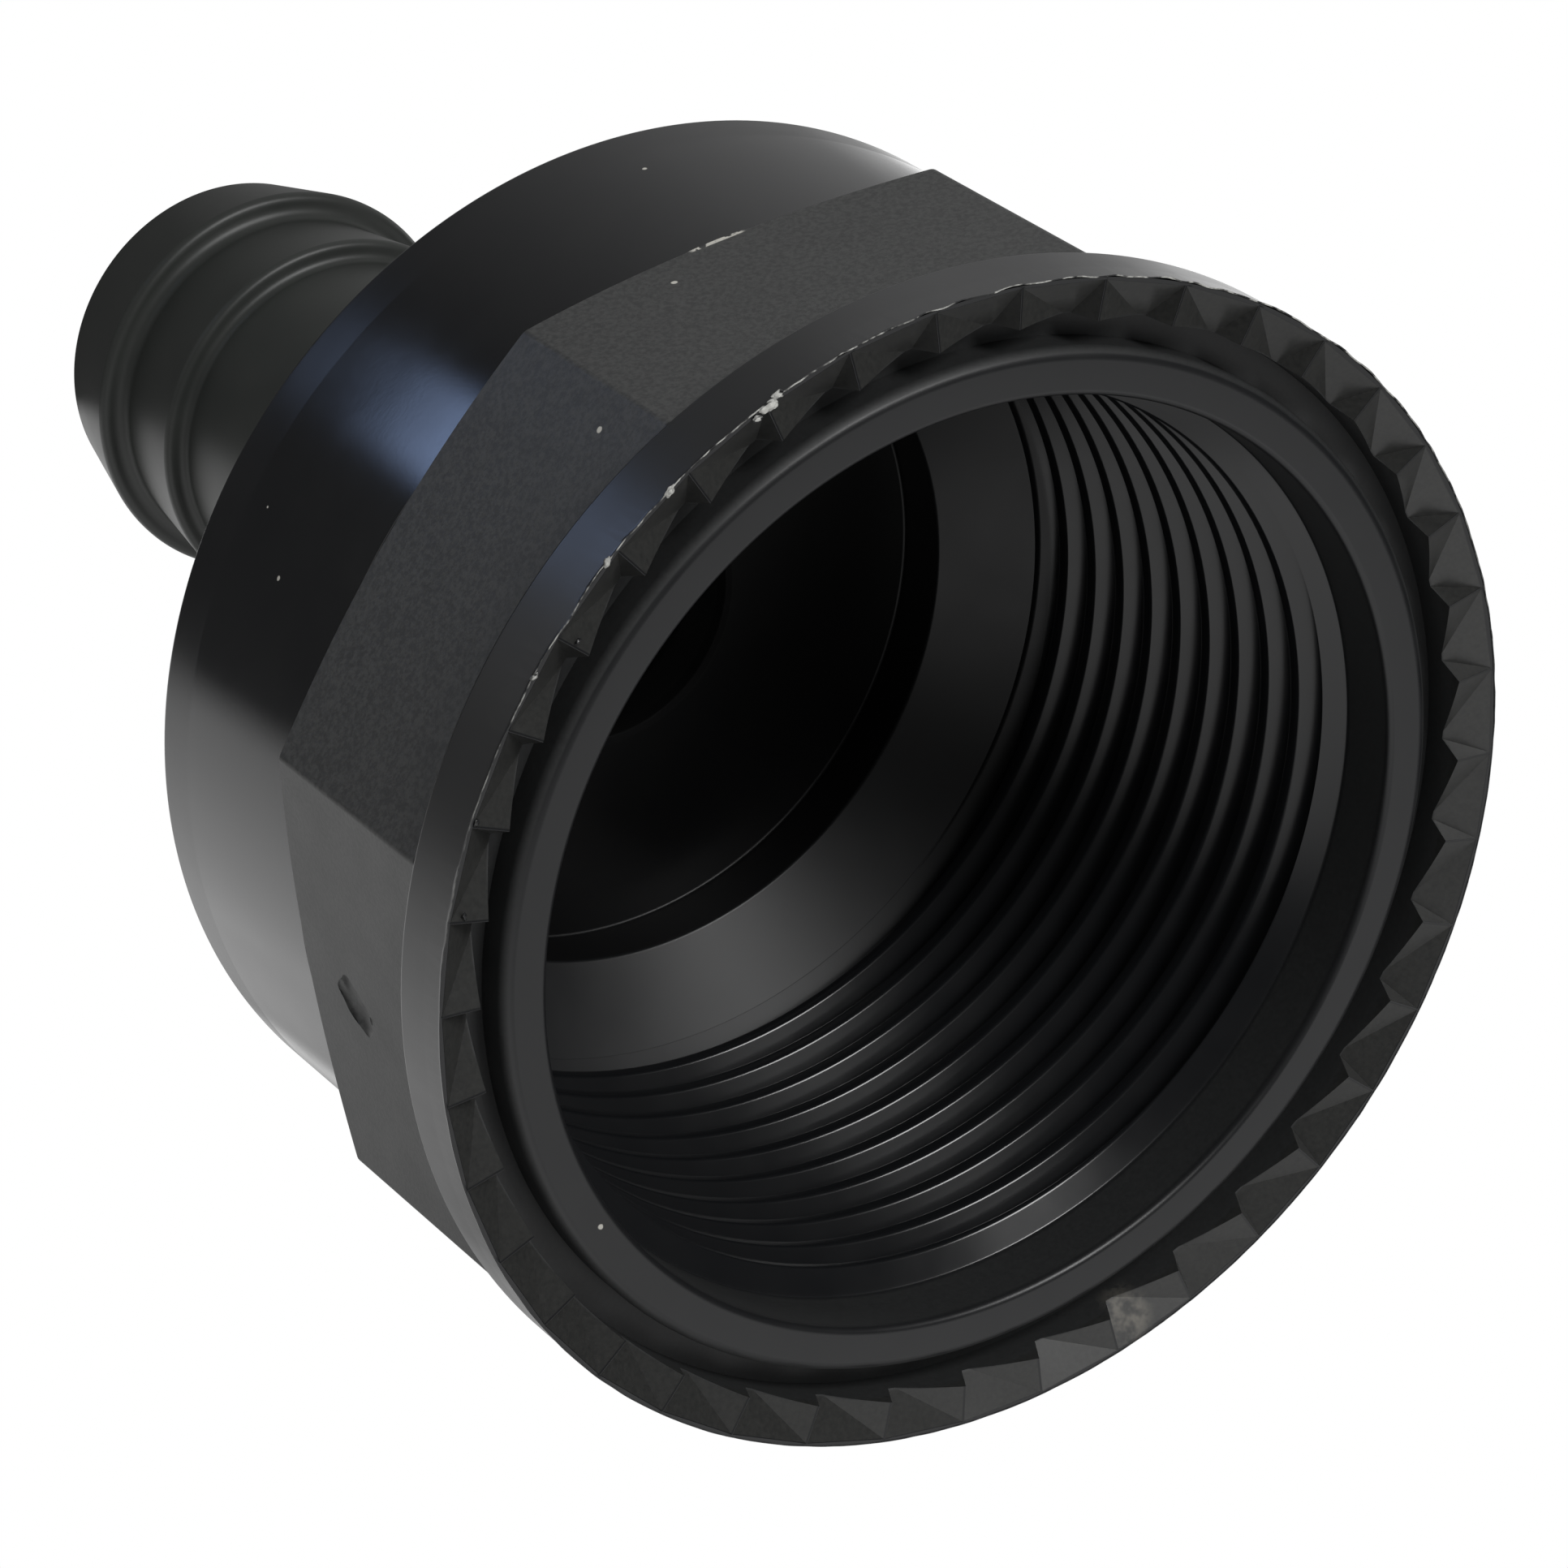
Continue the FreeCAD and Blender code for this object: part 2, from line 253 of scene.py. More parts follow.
# Ratchet collar.
# Forty one-way teeth are moulded into the collar's front face round a groove. Each is a sharp
# four-sided pocket that opens into the groove and stops just short of the rim.
TOOTH_COUNT = 40
TOOTH_DEPTH = 1.25
TOOTH_LEAN = 0.6
TOOTH_PHASE = math.radians(7.13)
TOOTH_INNER = 24.0
POCKET_STRETCH = 1.4
COLLAR_EDGE = 0.25
RIM_LAND = 0.1
CREST_LAND = 0.05
GROOVE_OUTER = 24.15
GROOVE_LEVEL = FRONT - 2.2

collar = turned("collar", [
    (RING_INNER, COLLAR_LEVEL, 0),
    (COLLAR_RADIUS, COLLAR_LEVEL, COLLAR_EDGE),
    (COLLAR_RADIUS, FRONT, 0),
    (GROOVE_OUTER, FRONT, 0),
    (GROOVE_OUTER, GROOVE_LEVEL, 0),
    (RING_INNER, GROOVE_LEVEL, 0),
])
tooth_turn = 2 * math.pi / TOOTH_COUNT


def polar(radius, angle, height):
    """Point given by radius, angle and height."""
    return Vector((radius * math.cos(angle), radius * math.sin(angle), height)) * MM


cutters = []
for i in range(TOOTH_COUNT):
    start = TOOTH_PHASE + i * tooth_turn + CREST_LAND / COLLAR_RADIUS
    end = TOOTH_PHASE + (i + 1) * tooth_turn
    apex = polar(TOOTH_INNER, start + TOOTH_LEAN / TOOTH_INNER, FRONT - TOOTH_DEPTH)
    mouth = [
        polar(TOOTH_INNER, start, FRONT),
        polar(COLLAR_RADIUS - RIM_LAND, start, FRONT),
        polar(COLLAR_RADIUS - RIM_LAND, end, FRONT),
        polar(TOOTH_INNER, end, FRONT),
    ]
    deselect()
    bpy.ops.mesh.primitive_cone_add(vertices=4, radius1=MM, radius2=0, depth=MM)
    cone = bpy.context.object
    for vertex in cone.data.vertices:
        vertex.co = apex
    for vertex, place in zip(cone.data.vertices, mouth):
        vertex.co = apex + (place - apex) * POCKET_STRETCH
    cutters.append(cone)
deselect()
for cone in cutters:
    cone.select_set(True)
bpy.context.view_layer.objects.active = cutters[0]
bpy.ops.object.join()
cutter = bpy.context.object
bpy.ops.object.mode_set(mode="EDIT")
bpy.ops.mesh.select_all(action="SELECT")
bpy.ops.mesh.normals_make_consistent(inside=False)
bpy.ops.object.mode_set(mode="OBJECT")
join_or_cut(collar, cutter, "DIFFERENCE")
join_or_cut(fitting, collar, "UNION")

# Mould flash.
# A thin ragged fin of plastic was squeezed out along the rim, and torn bits of it cling to the
# teeth on one side. They are left as they came from the mould.
FIN_STEPS = 720
FIN_HEIGHT = 0.12
FIN_ROOT = 0.2
FIN_SIDE = math.radians(35)
# Radius, angle in degrees and size of each torn bit.
FLASH_BITS = [
    (25.95, 61.0, 0.30), (25.75, 62.4, 0.20), (26.1, 59.9, 0.22), (26.0, 72.5, 0.22),
    (26.05, 80.5, 0.20), (25.0, 87.5, 0.13), (26.0, 92.0, 0.17), (25.8, 105.7, 0.13),
    (25.3, 114.5, 0.12),
]

fin = turned("rim_fin", [
    (COLLAR_RADIUS - 0.07, FRONT - FIN_ROOT, 0),
    (COLLAR_RADIUS - 0.01, FRONT - FIN_ROOT, 0),
    (COLLAR_RADIUS + 0.02, FRONT + FIN_HEIGHT, 0),
    (COLLAR_RADIUS - 0.03, FRONT + FIN_HEIGHT, 0),
], steps=FIN_STEPS)
for vertex in fin.data.vertices:
    if vertex.co.z < FRONT * MM:
        continue
    angle = math.atan2(vertex.co.y, vertex.co.x)
    worn = max(0.0, math.cos(angle - FIN_SIDE)) ** 0.7
    out = Vector((math.cos(angle), math.sin(angle), 0))
    place = out * 26
    ragged = noise.noise(place * 1.3) * 0.6 + noise.noise(place * 3.1) * 0.5
    reach = max(0.02, (0.18 + 0.62 * worn) * (0.75 + ragged))
    lean = (0.02 + 0.10 * worn) * (0.6 + noise.noise(place * 0.9 + Vector((7, 0, 0))))
    vertex.co.z = (FRONT + FIN_HEIGHT * reach) * MM
    vertex.co += out * lean * MM
join_or_cut(fitting, fin, "UNION")

for i, (radius, turn, size) in enumerate(FLASH_BITS):
    deselect()
    bpy.ops.mesh.primitive_ico_sphere_add(subdivisions=3, radius=size * MM)
    bit = bpy.context.object
    swing = Matrix.Rotation(math.radians(turn + 25 * math.sin(5.0 * i)), 4, "Z")
    for vertex in bit.data.vertices:
        place = vertex.co / (size * MM)
        lump = 1 + 0.55 * noise.noise(place * 1.4 + Vector((i * 3.7, 0, 0)))
        shape = Vector((place.x * 0.7, place.y * 1.25, place.z * 0.55)) * lump
        seat = polar(radius, math.radians(turn), FRONT + size * 0.2)
        vertex.co = swing @ shape * size * MM + seat
    join_or_cut(fitting, bit, "UNION")

# Knock mark.
# One flat carries a short dent from a knock, with a lip of plastic pushed up along its side.
# The flat is first split through the dent, which keeps the cuts clean.
KNOCK_AT = Vector((-17.46, 16.49, 56.0))
KNOCK_ALONG = Vector((-0.387, -0.391, 0.835)).normalized()
KNOCK_OUT = Vector((-1, 1, 0)).normalized()
KNOCK_SIDE = KNOCK_OUT.cross(KNOCK_ALONG)


def pebble(name, centre, half_length, half_width, half_depth):
    """Rough ball stretched along the dent, half sunk in the flat."""
    deselect()
    bpy.ops.mesh.primitive_ico_sphere_add(subdivisions=4, radius=MM)
    ball = bpy.context.object
    ball.name = name
    for vertex in ball.data.vertices:
        place = vertex.co / MM
        rough = 1 + 0.22 * noise.noise(place * 1.9 + centre)
        bend = KNOCK_SIDE * -0.04 * place.x ** 2
        vertex.co = (centre + bend + (
            KNOCK_ALONG * place.x * half_length + KNOCK_SIDE * place.y * half_width
            + KNOCK_OUT * place.z * half_depth) * rough) * MM
    return ball


RIDGE_AT = KNOCK_AT + KNOCK_SIDE * 0.42 + KNOCK_ALONG * 0.5 - KNOCK_OUT * 0.08
RIDGE_SIZE = (0.8, 0.42, 0.20)
DENT_AT = KNOCK_AT + KNOCK_OUT * 0.11
DENT_SIZE = (1.48, 1.02, 0.38)
for centre, size, operation in (
        (RIDGE_AT, RIDGE_SIZE, "UNION"), (DENT_AT, DENT_SIZE, "DIFFERENCE")):
    pick(fitting)
    bpy.ops.object.mode_set(mode="EDIT")
    bpy.ops.mesh.select_mode(type="FACE")
    bpy.ops.mesh.select_all(action="DESELECT")
    bpy.ops.object.mode_set(mode="OBJECT")
    for face in fitting.data.polygons:
        face.select = (face.normal.dot(KNOCK_OUT) > 0.999
                       and abs((face.center / MM - KNOCK_AT).dot(KNOCK_OUT)) < 0.05)
    bpy.ops.object.mode_set(mode="EDIT")
    bpy.ops.mesh.bisect(plane_co=centre * MM, plane_no=KNOCK_SIDE, threshold=1e-7)
    bpy.ops.mesh.select_mode(type="VERT")
    bpy.ops.object.mode_set(mode="OBJECT")
    join_or_cut(fitting, pebble("knock", centre, *size), operation)

# Thread.
# A right-hand parallel pipe thread, 11.5 turns to the inch, unscrewed from the mould. A tap of
# its form is trimmed to the socket's length and cut out of the wall.
THREAD_PITCH = 25.4 / 11.5
THREAD_ROOT = 20.74
CREST_WIDTH = 0.62
ROOT_WIDTH = 0.44
CREST_ROUND = 0.22
ROOT_ROUND = 0.08
FIRST_CREST = FRONT - 4.17
FIRST_CREST_ANGLE = math.radians(229.3)
TURNS_BELOW_FIRST = 12
THREAD_STEPS = 192
TAP_FOOT = 1.4
TAP_MARGIN = 1.6
TAP_CORE = 3

flank = (THREAD_PITCH - CREST_WIDTH - ROOT_WIDTH) / 2
crest_half = CREST_WIDTH / 2
outline = [
    (THREAD_CREST, 0, 0),
    (THREAD_CREST, crest_half, CREST_ROUND),
    (THREAD_ROOT, crest_half + flank, ROOT_ROUND),
    (THREAD_ROOT, crest_half + flank + ROOT_WIDTH, ROOT_ROUND),
    (THREAD_CREST, THREAD_PITCH - crest_half, CREST_ROUND),
    (THREAD_CREST, THREAD_PITCH, 0),
    (0, THREAD_PITCH, 0),
    (0, 0, 0),
]
points = rounded(outline, arc_steps=3)[:-2]
start_height = FIRST_CREST - TURNS_BELOW_FIRST * THREAD_PITCH
deselect()
bpy.ops.mesh.primitive_plane_add(size=MM, location=(0, 0, 0))
tap = bpy.context.object
tap.name = "thread"
bpy.ops.object.mode_set(mode="EDIT")
bpy.ops.mesh.select_all(action="SELECT")
bpy.ops.mesh.merge(type="CENTER")
bpy.ops.transform.translate(value=(points[0].x * MM, 0, (start_height + points[0].y) * MM))
for a, b in zip(points, points[1:]):
    step = (b - a) * MM
    bpy.ops.mesh.extrude_region_move(TRANSFORM_OT_translate={"value": (step.x, 0, step.y)})
bpy.ops.mesh.select_all(action="SELECT")
bpy.ops.transform.rotate(value=-FIRST_CREST_ANGLE, orient_axis="Z", center_override=(0, 0, 0))
bpy.ops.object.mode_set(mode="OBJECT")
screw = tap.modifiers.new("screw", "SCREW")
screw.axis = "Z"
screw.angle = 2 * math.pi
screw.screw_offset = THREAD_PITCH * MM
screw.iterations = TURNS_BELOW_FIRST + 1
screw.steps = THREAD_STEPS
screw.render_steps = THREAD_STEPS
screw.use_merge_vertices = False
pick(tap)
bpy.ops.object.modifier_apply(modifier=screw.name)
bpy.ops.object.mode_set(mode="EDIT")
bpy.ops.mesh.select_all(action="SELECT")
bpy.ops.mesh.remove_doubles(threshold=WELD)
bpy.ops.mesh.normals_make_consistent(inside=False)
bpy.ops.object.mode_set(mode="OBJECT")
slope = (THREAD_END - SEAT_LEVEL) / (THREAD_CREST - SEAT)
reach = turned("thread_reach", [
    (TAP_CORE, THREAD_END + TAP_FOOT, 0),
    (THREAD_CREST - TAP_FOOT / 2, THREAD_END + TAP_FOOT, 0),
    (THREAD_CREST - 0.03, THREAD_END, 0),
    (THREAD_CREST + TAP_MARGIN, THREAD_END + TAP_MARGIN * slope, 0),
    (THREAD_CREST + TAP_MARGIN, MOUTH_LEVEL - 0.2, 0),
    (TAP_CORE, MOUTH_LEVEL - 0.2, 0),
], steps=THREAD_STEPS)
for height, outer in ((MOUTH_LEVEL + 0.5, True), (THREAD_END - 2, False)):
    pick(tap)
    bpy.ops.object.mode_set(mode="EDIT")
    bpy.ops.mesh.select_all(action="SELECT")
    bpy.ops.mesh.bisect(
        plane_co=(0, 0, height * MM), plane_no=(0, 0, 1), use_fill=True,
        clear_outer=outer, clear_inner=not outer, threshold=1e-7)
    bpy.ops.mesh.select_all(action="SELECT")
    bpy.ops.mesh.normals_make_consistent(inside=False)
    bpy.ops.object.mode_set(mode="OBJECT")
join_or_cut(tap, reach, "INTERSECT")
join_or_cut(fitting, tap, "DIFFERENCE")

SHARP_ANGLE = math.radians(22)
pick(fitting)
bpy.ops.object.shade_smooth_by_angle(angle=SHARP_ANGLE)
weigh = fitting.modifiers.new("weigh", "WEIGHTED_NORMAL")
weigh.keep_sharp = True
bpy.ops.object.modifier_apply(modifier=weigh.name)

# Black plastic.
# One carbon-black plastic all over. What differs is the mould's surface: polished on the body,
# blasted on the flats, tooled on the collar and the lip, and pale where thin flash is torn, the
# pale rim fin being partly a painted highlight. The groove and the mouth wall carry painted
# light, and the well and the bore carry painted shade.


class Wire:
    """A node's output that Python maths can be done on."""

    def __init__(self, finish, socket):
        self.finish = finish
        self.socket = socket

    def other(self, name):
        """Another output of the same node."""
        return Wire(self.finish, self.socket.node.outputs[name])

    def math(self, operation, *values):
        sockets = dict(enumerate((self,) + values))
        return self.finish.node("ShaderNodeMath", {"operation": operation}, sockets)

    def larger(self, other):
        return self.math("MAXIMUM", other)

    def __add__(self, other):
        return self.math("ADD", other)

    def __sub__(self, other):
        return self.math("SUBTRACT", other)

    def __mul__(self, other):
        return self.math("MULTIPLY", other)

    def __rsub__(self, other):
        return (self * -1) + other

    __radd__ = __add__
    __rmul__ = __mul__

    def rise(self, start, end):
        """0 up to start, 1 from end on, smooth between."""
        return self.finish.node(
            "ShaderNodeMapRange", {"interpolation_type": "SMOOTHSTEP"},
            {"Value": self, "From Min": start, "From Max": end})

    def fall(self, start, end):
        """1 up to start, 0 from end on, smooth between."""
        return 1 - self.rise(start, end)

    def within(self, low, high, edge=0.05):
        """1 between low and high, 0 outside, with soft edges."""
        return self.rise(low - edge, low + edge) * self.fall(high - edge, high + edge)


class Finish:
    """A material or world whose nodes are added in one way."""

    def __init__(self, owner):
        owner.use_nodes = True
        self.owner = owner
        self.tree = owner.node_tree

    def node(self, kind, settings=None, sockets=None, output=0):
        node = self.tree.nodes.new(kind)
        for name, value in (settings or {}).items():
            if name == "stops":
                ramp = node.color_ramp
                for place, colour in value[:-2]:
                    ramp.elements.new(place)
                for element, (place, colour) in zip(ramp.elements, value):
                    element.position = place
                    element.color = colour
            else:
                setattr(node, name, value)
        for name, value in (sockets or {}).items():
            self.put(node.inputs[name], value)
        return Wire(self, node.outputs[output])

    def put(self, socket, value):
        if isinstance(value, Wire):
            self.tree.links.new(value.socket, socket)
        else:
            socket.default_value = value

    def vector(self, operation, sockets, output=0):
        return self.node("ShaderNodeVectorMath", {"operation": operation}, sockets, output)

    def blend(self, factor, first, second):
        """Colour that goes from first to second."""
        return self.node(
            "ShaderNodeMix", {"data_type": "RGBA"}, {0: factor, 6: first, 7: second}, output=2)

    def distance(self, place, centre):
        return self.vector("DISTANCE", {0: place, 1: centre}, output=1)

    def speckle(self, place, scale, detail, roughness):
        return self.node(
            "ShaderNodeTexNoise", {},
            {"Vector": place, "Scale": scale, "Detail": detail, "Roughness": roughness})


plastic = Finish(bpy.data.materials.new("black_plastic"))
surface = plastic.tree.nodes["Principled BSDF"]

# Places in millimetres, with r the distance from the axis.
spot = plastic.vector(
    "SCALE", {"Vector": plastic.node("ShaderNodeTexCoord", output="Object"), "Scale": 1 / MM})
x = plastic.node("ShaderNodeSeparateXYZ", {}, {0: spot})
y = x.other("Y")
z = x.other("Z")
r = (x * x + y * y).math("POWER", 0.5)

# Where each surface of the mould shows. The skin lies between the shoulder and the socket.
outside = r.rise(23.3, 23.4)
skin = (z * 0.75 - 8.7).math("MINIMUM", 22.3)
on_body = z.within(RIM_LEVEL + 0.1, FLATS_LEVEL) * (r - skin).rise(0, 0.2)
on_flats = z.within(FLATS_LEVEL, COLLAR_LEVEL) * outside
on_collar = z.rise(COLLAR_LEVEL - 0.05, COLLAR_LEVEL + 0.05) * r.rise(24.0, 24.2)
on_teeth = on_collar * z.fall(FRONT - 0.03, FRONT - 0.01) * z.rise(FRONT - 1.4, FRONT - 1.2)
on_lip = z.rise(FRONT - 1.1, FRONT - 0.7) * r.fall(23.0, 23.1)
on_tail = z.fall(BACK - 0.2, BACK + 0.1)
on_seat = z.within(SEAT_LEVEL - 0.1, THREAD_END + 0.6) * r.rise(15.8, 15.95)
in_groove = z.within(GROOVE_LEVEL - 0.1, FRONT - 0.55, 0.2) * r.within(22.6, 24.2)
in_mouth = z.within(MOUTH_LEVEL + 0.1, LIP_LEVEL - 0.3, 0.2) * r.fall(20.9, 21.2)
in_thread = z.within(THREAD_END + 0.6, MOUTH_LEVEL, 0.1) * r.fall(20.9, 21.0)
in_well = z.rise(WELL_LEVEL - 0.8, WELL_LEVEL - 0.5) * r.fall(16.2, 16.4)
in_well = in_well * z.fall(SEAT_LEVEL - 0.15, SEAT_LEVEL - 0.05)
in_bore = z.rise(0.5, 1.5) * r.fall(6.5, 6.6)

grain = plastic.speckle(spot, 4.6, 3.0, 0.65)
blotch = plastic.speckle(spot, 0.35, 3.0, 0.6)
crumbs = plastic.speckle(spot, 1.7, 2.0, 0.6)

POLISHED = (0.0058, 0.0062, 0.0072, 1), (0.0082, 0.0086, 0.0092, 1)
BLASTED = (0.020, 0.0205, 0.0205, 1), (0.040, 0.041, 0.040, 1)
TOOLED = (0.010, 0.0105, 0.0105, 1), (0.034, 0.034, 0.032, 1)
DULL = (0.020, 0.0222, 0.0208, 1), (0.030, 0.0325, 0.0295, 1)
RECESS_PAINTED_LIGHT = (0.010, 0.0105, 0.011, 1), (0.026, 0.027, 0.027, 1)
PAINTED_SHADE_BLACK = (0.002, 0.002, 0.0024, 1)
colour = plastic.blend(on_flats, plastic.blend(blotch, *POLISHED),
                       plastic.blend(grain.rise(0.33, 0.67), *BLASTED))
colour = plastic.blend(on_teeth * r.fall(25.9, 25.95), colour, plastic.blend(grain, *TOOLED))
colour = plastic.blend(on_tail, colour, plastic.blend(blotch, *DULL))
# Painted light: the groove and the mouth wall get a lighter grainy colour that stands in for
# light reaching into them, so their shade is less deep.
colour = plastic.blend(in_groove.larger(in_mouth), colour, plastic.blend(grain, *RECESS_PAINTED_LIGHT))
# Painted shade: the well round the seat and the tail's bore are coloured nearly black, darker
# than the plastic elsewhere, for the shade deep inside.
colour = plastic.blend(in_well.larger(in_bore), colour, PAINTED_SHADE_BLACK)

# Dust sits in single specks, each with its place and size, and in crumbs on the flats' back edge.
DUST = (0.42, 0.41, 0.37, 1)
CRUMBS_AT = (16.9, 17.0, 52.0)
SPECKS = [
    ((14.6, 19.3, 53.95), 0.16), ((8.3, 24.0, 60.65), 0.15), ((17.98, 15.9, 43.8), 0.11),
    ((-4.13, 23.64, 46.4), 0.12), ((-1.97, 23.92, 43.6), 0.08), ((-19.84, 8.42, 66.9), 0.14),
    ((0.3, 8.9, 3.8), 0.17), ((0.2, 9.3, 4.6), 0.13),
]
dust = plastic.distance(spot, CRUMBS_AT).fall(1.1, 1.4)
dust = dust * z.within(51.9, 52.16, 0.04) * crumbs.rise(0.42, 0.5)
for centre, size in SPECKS:
    far = plastic.distance(spot, centre) + (crumbs - 0.5) * 0.2
    dust = dust.larger(far.fall(size * 0.7, size * 1.1))
colour = plastic.blend(dust, colour, DUST)

# One tooth is scraped brown and beige.
SCRAPED = (0.13, 0.12, 0.10, 1)
SCRAPE_AT = (-14.6, -20.6, 66.4)
scrape = (plastic.distance(spot, SCRAPE_AT) + (crumbs - 0.5) * 1.4).fall(1.0, 1.5)
colour = plastic.blend(scrape * crumbs.rise(0.3, 0.7) * 0.8, colour, SCRAPED)

# Thin flash has turned pale where it was stretched or torn, mostly on the side where it is tall.
# On the rim fin this pale is partly a painted highlight for the bright line that the rim catches
# on that side. The torn bits' pale is their own colour.
PALE_FLASH_AND_HIGHLIGHT = (0.22, 0.22, 0.21, 1), (0.62, 0.62, 0.58, 1)
tall_side = (x * 0.0315 + y * 0.0221).rise(0.0, 0.95) * 0.85 + 0.1
pale_fin_and_highlight = z.rise(FRONT + 0.01, FRONT + 0.05) * r.rise(25.8, 25.9) * crumbs.rise(0.40, 0.62)
torn_flash_and_highlight = (pale_fin_and_highlight * tall_side).larger(z.rise(FRONT + 0.11, FRONT + 0.15))
colour = plastic.blend(torn_flash_and_highlight, colour, plastic.blend(grain, *PALE_FLASH_AND_HIGHLIGHT))
plastic.put(surface.inputs["Base Color"], colour)

rough = (
    0.30 + on_body * -0.14 + on_flats * (0.18 + grain * 0.10) + on_collar * 0.02
    + on_teeth * -0.02 + on_lip * 0.08 + on_tail * 0.14 + on_seat * 0.08 + in_groove * 0.25
    + in_mouth * 0.2 + in_thread * -0.09 + in_well * 0.12 + in_bore * 0.4 + torn_flash_and_highlight * 0.3
    + (blotch - 0.5) * 0.10)
plastic.put(surface.inputs["Roughness"], rough)

height = grain * (on_flats * 0.9 + outside * 0.10 + on_lip * 0.25 + on_tail * 0.3)
height = height + blotch * 0.2 * outside
bump = plastic.node(
    "ShaderNodeBump", {}, {"Strength": 0.4, "Distance": 0.03 * MM, "Height": height})
plastic.put(surface.inputs["Normal"], bump)

fitting.data.materials.clear()
fitting.data.materials.append(plastic.owner)
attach(fitting, "root")
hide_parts("fitting_body")

# Floor.
# White seamless paper, white to the camera. What reflections see of it is painted: a glowing grey
# that shades off away from the window side, as the real surroundings do, and a painted bluish
# window glow on it.
FLOOR_SIZE = 3
# Azimuth in degrees and painted reflection tone, near the fitting and farther out.
NEAR_TONES = [
    (-180, 1.05), (-163, 0.70), (-157, 0.5), (-150, 1.0), (-143, 0.5), (-126, 0.40),
    (-60, 0.5), (-48, 1.7), (-38, 0.7), (-24, 0.38), (7, 0.36), (37, 0.20), (60, 0.08),
    (96, 0.08), (132, 0.09), (139, 1.0), (157, 1.15), (180, 1.15),
]
FAR_TONES = [
    (-180, 0.62), (-163, 0.26), (-157, 0.3), (-150, 1.1), (-128, 1.0), (-110, 1.0),
    (-68, 2.5), (-50, 2.5), (-40, 1.9), (-31, 1.1), (-20, 0.64), (-8, 0.50), (7, 0.8),
    (22, 0.85), (37, 0.36), (67, 0.30), (82, 0.62), (97, 0.75), (112, 0.35), (127, 0.37),
    (142, 0.8), (157, 1.05), (180, 0.75),
]
BRIGHTEST = 2.5
PAINTED_WINDOW_GLOW = (2.3, 3.15, 5.2, 1)
WHITE = (1, 1, 1, 1)

deselect()
bpy.ops.mesh.primitive_plane_add(size=FLOOR_SIZE, location=(0, 0, 0))
floor = bpy.context.object
floor.name = "floor"
paper = Finish(bpy.data.materials.new("paper"))
sheet = paper.tree.nodes["Principled BSDF"]
sheet.inputs["Base Color"].default_value = (0.75, 0.75, 0.75, 1)
sheet.inputs["Roughness"].default_value = 1.0
sheet.inputs["Specular IOR Level"].default_value = 0.0
along = paper.node(
    "ShaderNodeSeparateXYZ", {}, {0: paper.node("ShaderNodeTexCoord", output="Object")})
across = along.other("Y")
azimuth = across.math("ARCTAN2", along) * (0.5 / math.pi) + 0.5
distance = (along * along + across * across).math("POWER", 0.5) * (1 / MM)


def tones(stops):
    """Painted reflection grey of the floor by azimuth, as a share of the brightest."""
    marks = [((a + 180) / 360, (t / BRIGHTEST,) * 3 + (1,)) for a, t in stops]
    return paper.node("ShaderNodeValToRGB", {"stops": marks}, {0: azimuth})


# Painted reflection: reflections see the floor glow in this grey, graded by azimuth and distance,
# some of it brighter than white.
shade = paper.blend(distance.rise(66, 80), tones(NEAR_TONES), tones(FAR_TONES))
shade = paper.vector("SCALE", {"Vector": shade, "Scale": BRIGHTEST})
turn = azimuth * 360 - 180
# Painted reflection: a bluish patch glows brighter than white on the floor and is seen only in
# reflections, standing in for a window's highlight on the body.
painted_window_glow = turn.rise(64, 71) * turn.fall(80, 87) * distance.rise(57, 63) * distance.fall(67, 76)
shade = paper.blend(painted_window_glow, shade, PAINTED_WINDOW_GLOW)
camera_ray = paper.node("ShaderNodeLightPath")
glossy_ray = camera_ray.other("Is Glossy Ray")
straight_ray = camera_ray.larger(camera_ray.other("Is Transmission Ray"))
seen = paper.blend(straight_ray, shade, WHITE)
glow = paper.node("ShaderNodeEmission", {}, {"Color": seen})
lit = paper.node(
    "ShaderNodeMixShader", {},
    {0: straight_ray.larger(glossy_ray), 1: Wire(paper, sheet.outputs[0]), 2: glow})
paper.put(paper.tree.nodes["Material Output"].inputs[0], lit)
floor.data.materials.append(paper.owner)

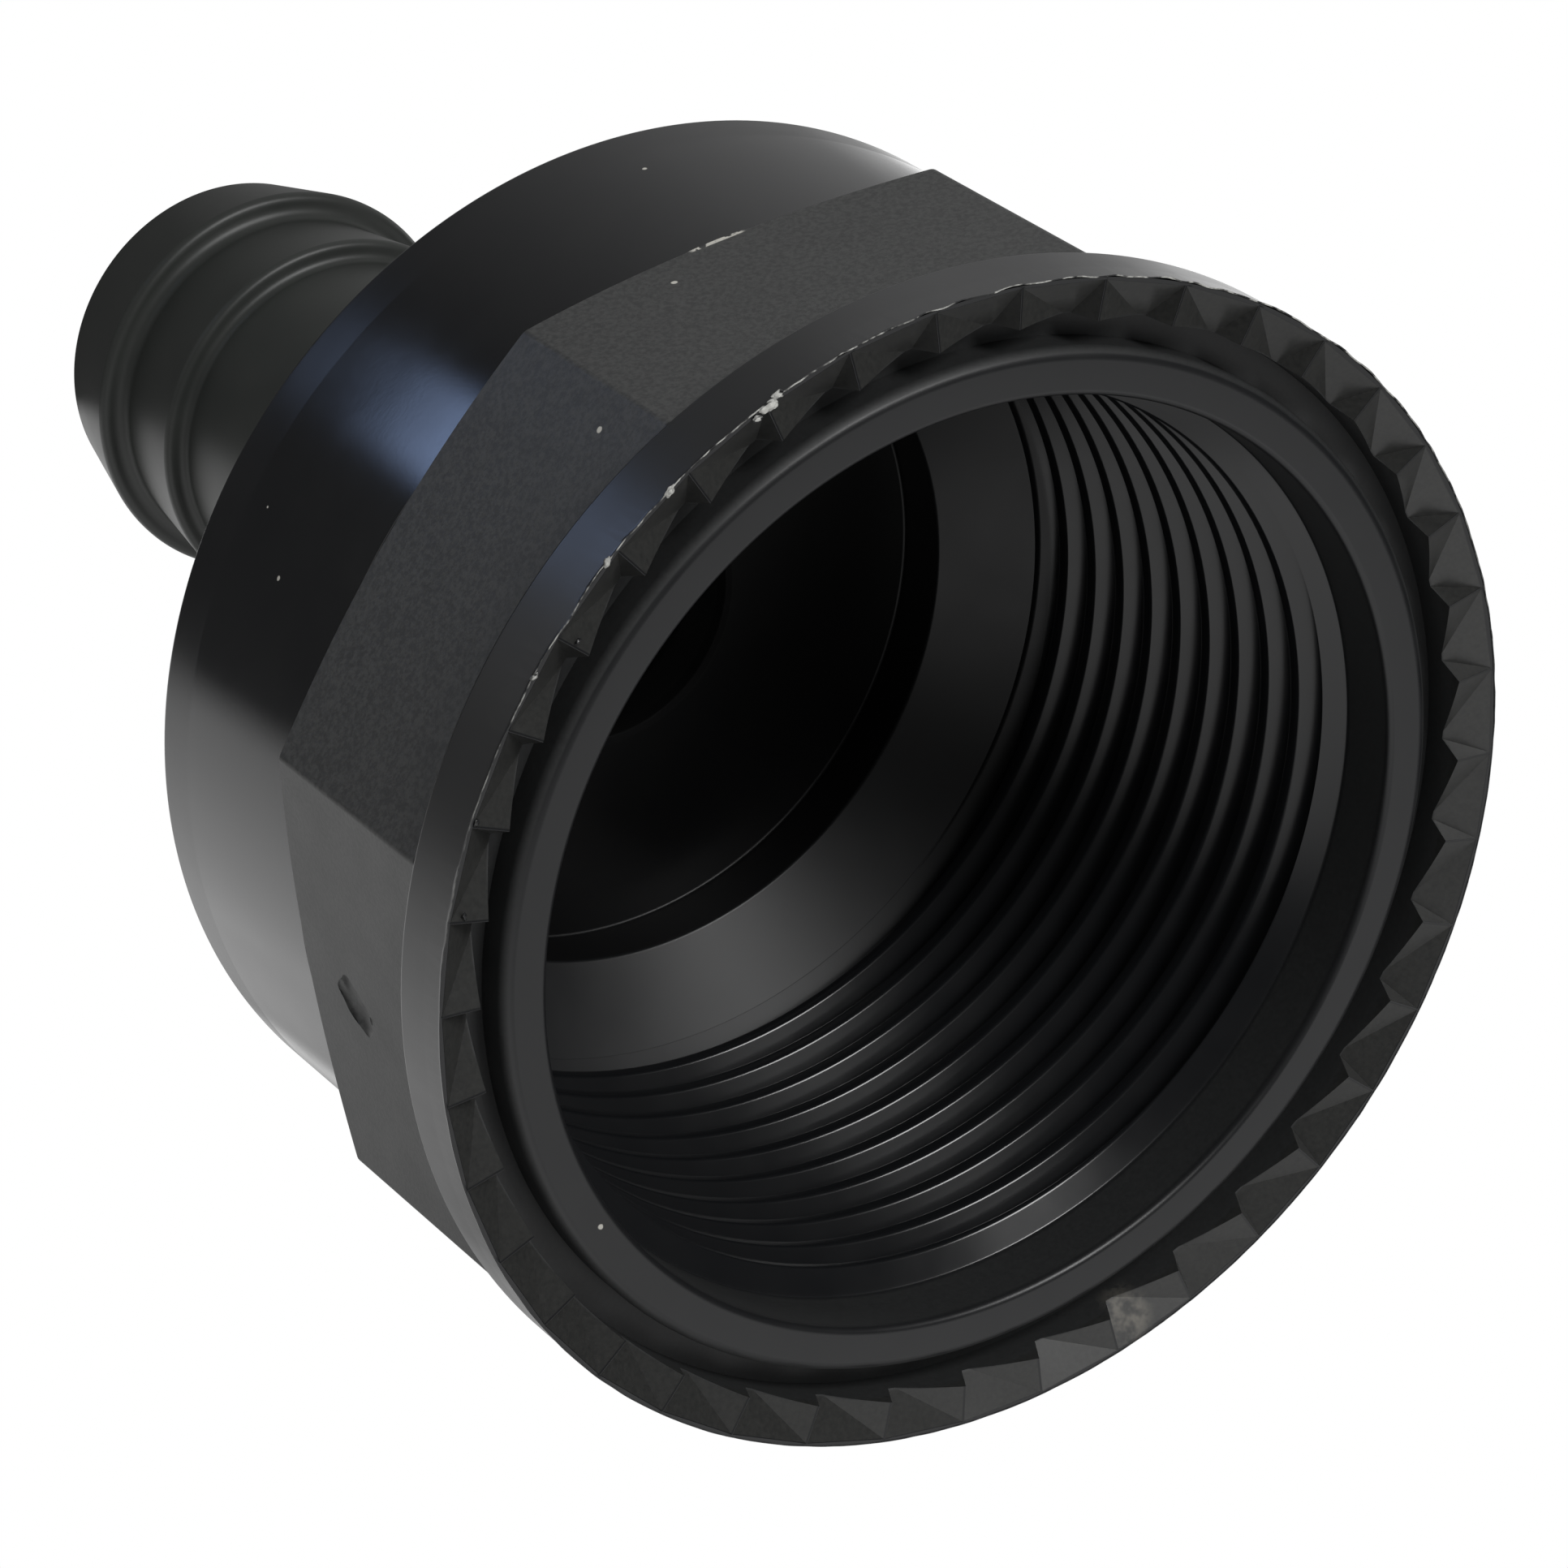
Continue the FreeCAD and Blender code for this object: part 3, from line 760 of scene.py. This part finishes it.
# Studio light.
# One soft lamp on the far side with a weak one above it, a wide weak one opposite, and a dim
# room that is a little brighter on one side.
LAMP_DISTANCE = 600
LAMP_AIM = Vector((0, 0, 60 * MM))


def bearing(azimuth, elevation):
    """Direction given in degrees round the fitting and above the floor."""
    flat = math.cos(math.radians(elevation))
    return Vector((
        math.cos(math.radians(azimuth)) * flat,
        math.sin(math.radians(azimuth)) * flat,
        math.sin(math.radians(elevation))))


def lamp(name, azimuth, elevation, across, radiance):
    """Round soft lamp that faces the fitting, as bright as its radiance says."""
    data = bpy.data.lights.new(name, "AREA")
    data.shape = "DISK"
    data.size = across * MM
    data.energy = radiance * math.pi * math.pi * (across * MM / 2) ** 2
    obj = bpy.data.objects.new(name, data)
    bpy.context.collection.objects.link(obj)
    out = bearing(azimuth, elevation)
    obj.location = LAMP_AIM + out * LAMP_DISTANCE * MM
    obj.rotation_mode = "QUATERNION"
    obj.rotation_quaternion = out.to_track_quat("Z", "Y")
    obj.visible_camera = False


lamp("key_lamp", 21, 43, 240, 15.0)
lamp("high_lamp", 8, 60, 200, 0.6)
lamp("back_panel", 263, 47, 460, 0.66)

room = Finish(bpy.data.worlds.new("room"))
bpy.context.scene.world = room.owner
facing = room.node("ShaderNodeTexCoord", output="Generated")
low_side = room.vector("DOT_PRODUCT", {0: facing, 1: bearing(200, 10)}, output=1)
high_side = room.vector("DOT_PRODUCT", {0: facing, 1: bearing(185, 42)}, output=1)
gleam = low_side.rise(0.2, 0.8) * 0.42 + high_side.rise(0.78, 0.92) * 0.5 + 0.03
camera_ray = room.node("ShaderNodeLightPath")
glossy_ray = camera_ray.other("Is Glossy Ray")
straight_ray = camera_ray.larger(camera_ray.other("Is Transmission Ray"))
tint = room.blend(glossy_ray, (0.5, 0.5, 0.5, 1), room.blend(gleam, (0, 0, 0, 1), WHITE))
tint = room.blend(straight_ray, tint, WHITE)
room.put(room.tree.nodes["Background"].inputs["Color"], tint)

bpy.context.scene.view_settings.view_transform = "Standard"
